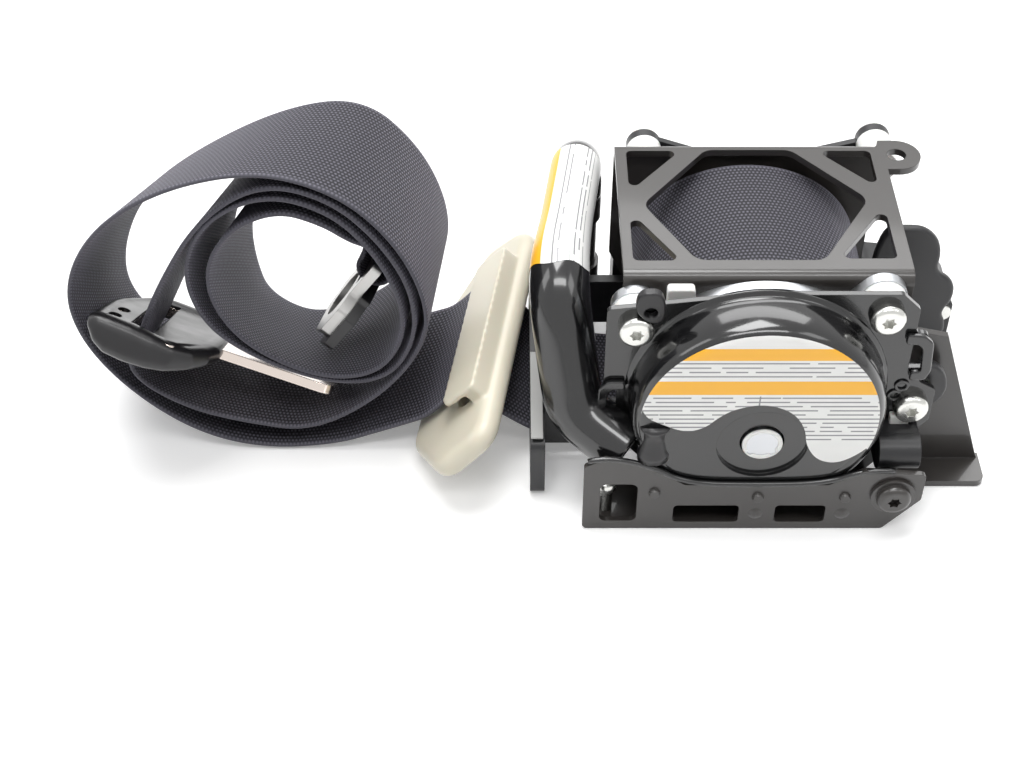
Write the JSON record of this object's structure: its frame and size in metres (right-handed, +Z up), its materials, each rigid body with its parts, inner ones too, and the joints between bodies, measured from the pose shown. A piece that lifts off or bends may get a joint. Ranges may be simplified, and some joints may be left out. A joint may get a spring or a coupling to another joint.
{
  "type": "seat belt assembly",
  "caption": "Car seat belt with a framed retractor, a ball-tube pretensioner, a beige pillar loop, and charcoal webbing coiled round its tongue and end plate.",
  "frame": {"origin": "middle of the whole assembly, on the surface it lies on", "axes": "+X along the strap from the coil towards the retractor, +Y across the strap towards the return spring, +Z up"},
  "size_m": [0.2488, 0.1092, 0.0973],
  "materials": {
    "webbing_charcoal": "matte",
    "painted_steel_black": "satin",
    "gloss_black_steel": "gloss",
    "zinc_steel": "satin",
    "steel_dark": "satin",
    "aluminium_cast": "satin",
    "chrome": "polished",
    "plastic_beige": "satin",
    "plastic_black": "satin",
    "plastic_white": "satin",
    "rubber_seal": "matte"
  },
  "bodies": {
    "retractor": {"retractor_frame": "painted_steel_black", "base_disc": "aluminium_cast", "screw_spacers": "plastic_white", "drum_cover": "gloss_black_steel", "ball_tube": "gloss_black_steel", "drive_balls": "aluminium_cast", "tube_seal": "rubber_seal", "gas_generator": "painted_steel_black", "lower_bracket": "painted_steel_black", "cover_clamp": "plastic_black", "cover_screws": "zinc_steel", "bracket_bolt": "painted_steel_black", "lock_ring": "steel_dark", "mechanism_cover": "plastic_black", "spring_cover": "plastic_black", "return_spring": "steel_dark", "sensor_housing": "plastic_white", "sensor_screw": "zinc_steel", "rear_pins": "plastic_white", "webbing_guide": "plastic_black", "webbing_lead": "webbing_charcoal", "webbing_outer_turn": "webbing_charcoal", "webbing_inner_turns": "webbing_charcoal", "sewn_end": "webbing_charcoal"},
    "reel": {"spool": "aluminium_cast", "wound_webbing": "webbing_charcoal", "torsion_bar": "steel_dark", "drive_wheel": "aluminium_cast", "lock_head": "aluminium_cast", "steering_wheel": "plastic_white", "spring_arbor": "plastic_white"},
    "locking_pawl": {"locking_pawl": "steel_dark"},
    "sensor_lever": {"sensor_lever": "plastic_white"},
    "sensor_ball": {"sensor_ball": "steel_dark"},
    "pillar_loop": {"pillar_loop": "plastic_beige", "loop_core": "zinc_steel"},
    "tongue": {"tongue_grip": "plastic_black", "tongue_blade": "chrome"},
    "end_plate": {"end_plate": "zinc_steel", "end_plate_cover": "plastic_black"}
  },
  "joints": [
    {"name": "reel_spin", "type": "hinge", "parent": "retractor", "child": "reel", "pos_m": [0.05756, 0.0016, 0.031], "axis": [0, 1, 0], "range_deg": [-1080, 4320]},
    {"name": "pawl_swing", "type": "hinge", "parent": "reel", "child": "locking_pawl", "pos_m": [0.05706, 0.0337, 0.0445], "axis": [0, 1, 0], "range_deg": [0, 12]},
    {"name": "lever_lift", "type": "hinge", "parent": "retractor", "child": "sensor_lever", "pos_m": [0.11436, 0.0354, 0.016], "axis": [0, 1, 0], "range_deg": [0, 2.5]},
    {"name": "ball_roll", "type": "hinge", "parent": "retractor", "child": "sensor_ball", "pos_m": [0.10936, 0.034, 0.0095], "axis": [0, 1, 0], "range_deg": [-25, 25]},
    {"name": "loop_swivel", "type": "hinge", "parent": "retractor", "child": "pillar_loop", "pos_m": [-0.02387, 0.00144, 0.00918], "axis": [-0.735, 0.1098, 0.6691], "range_deg": [-3, 3], "deforming": ["webbing_lead", "webbing_outer_turn"]},
    {"name": "tongue_slide", "type": "slide", "parent": "retractor", "child": "tongue", "axis": [0.4315, 0, 0.9021], "range_m": [0, 0.004], "deforming": ["webbing_outer_turn", "webbing_inner_turns"]},
    {"name": "end_plate_swing", "type": "hinge", "parent": "retractor", "child": "end_plate", "pos_m": [-0.04374, -0.0004, 0.0522], "axis": [0.2008, 0.9685, -0.1475], "range_deg": [-20, 20]}
  ]
}
